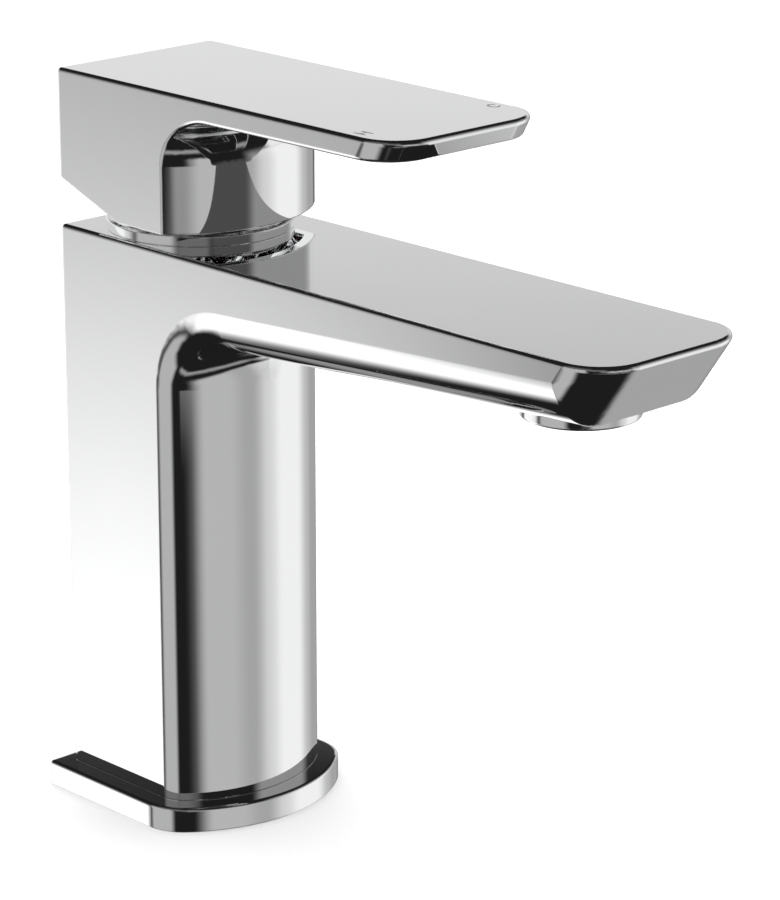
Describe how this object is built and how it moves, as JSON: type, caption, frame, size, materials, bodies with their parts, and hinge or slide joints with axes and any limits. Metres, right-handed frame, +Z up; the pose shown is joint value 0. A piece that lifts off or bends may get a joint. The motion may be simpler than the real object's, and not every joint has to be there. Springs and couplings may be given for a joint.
{
  "type": "basin mixer tap",
  "caption": "Single-lever basin mixer tap: squared hollow column with a bowed front, flat flush spout with aerator, cover ring and a flat lever over a ceramic cartridge.",
  "frame": {"origin": "on the cartridge axis at the plane of the basin top, the centre of the 35 mm tap hole", "axes": "+Z up along the cartridge axis, -Y along the spout and lever towards the user, -X the hot side"},
  "size_m": [0.0522, 0.1614, 0.1623],
  "materials": {
    "chrome": "mirror-polished chrome plate on cast metal",
    "brass": "machined brass",
    "stainless": "drawn and ground stainless steel",
    "ceramic": "lapped alumina ceramic",
    "cartridge_plastic": "moulded off-white engineering plastic",
    "stop_plastic": "moulded red plastic",
    "bush_plastic": "moulded black plastic",
    "rubber": "black moulded rubber",
    "aerator_plastic": "moulded light grey plastic",
    "plug_plastic": "moulded silver-grey plastic",
    "mark_enamel": "dark filled engraving"
  },
  "bodies": {
    "body": {"body_casting": "chrome", "base_flange": "chrome", "base_seal": "rubber", "cover_ring": "chrome", "aerator_housing": "chrome", "spigot_ring": "rubber", "aerator_insert": "aerator_plastic", "aerator_screen": "stainless", "aerator_seal": "rubber", "cartridge_base": "cartridge_plastic", "cartridge_seals": "rubber", "cartridge_housing": "cartridge_plastic", "housing_o_ring": "rubber", "fixed_disc": "ceramic", "cartridge_nut": "brass", "temperature_stop_ring": "stop_plastic"},
    "swivel": {"swivel_guide": "cartridge_plastic", "pivot_pin": "stainless"},
    "lever": {"handle": "chrome", "spindle": "stainless", "handle_bush": "bush_plastic", "grub_screw": "stainless", "index_plug": "plug_plastic", "hot_mark": "mark_enamel", "cold_mark": "mark_enamel"},
    "carriage": {"disc_carrier": "cartridge_plastic", "moving_disc": "ceramic"}
  },
  "joints": [
    {"name": "temperature_swivel", "type": "hinge", "parent": "body", "child": "swivel", "pos_m": [0, 0, 0.124], "axis": [0, 0, 1], "range_deg": [-50, 50]},
    {"name": "lever_lift", "type": "hinge", "parent": "swivel", "child": "lever", "pos_m": [0, 0, 0.124], "axis": [-1, 0, 0], "range_deg": [0, 20]},
    {"name": "disc_slide", "type": "slide", "parent": "swivel", "child": "carriage", "axis": [0, -1, 0], "range_m": [0, 0.0042]}
  ],
  "couplings": [
    {"joint": "disc_slide", "follows": "lever_lift", "m_per_rad": 0.011757}
  ]
}
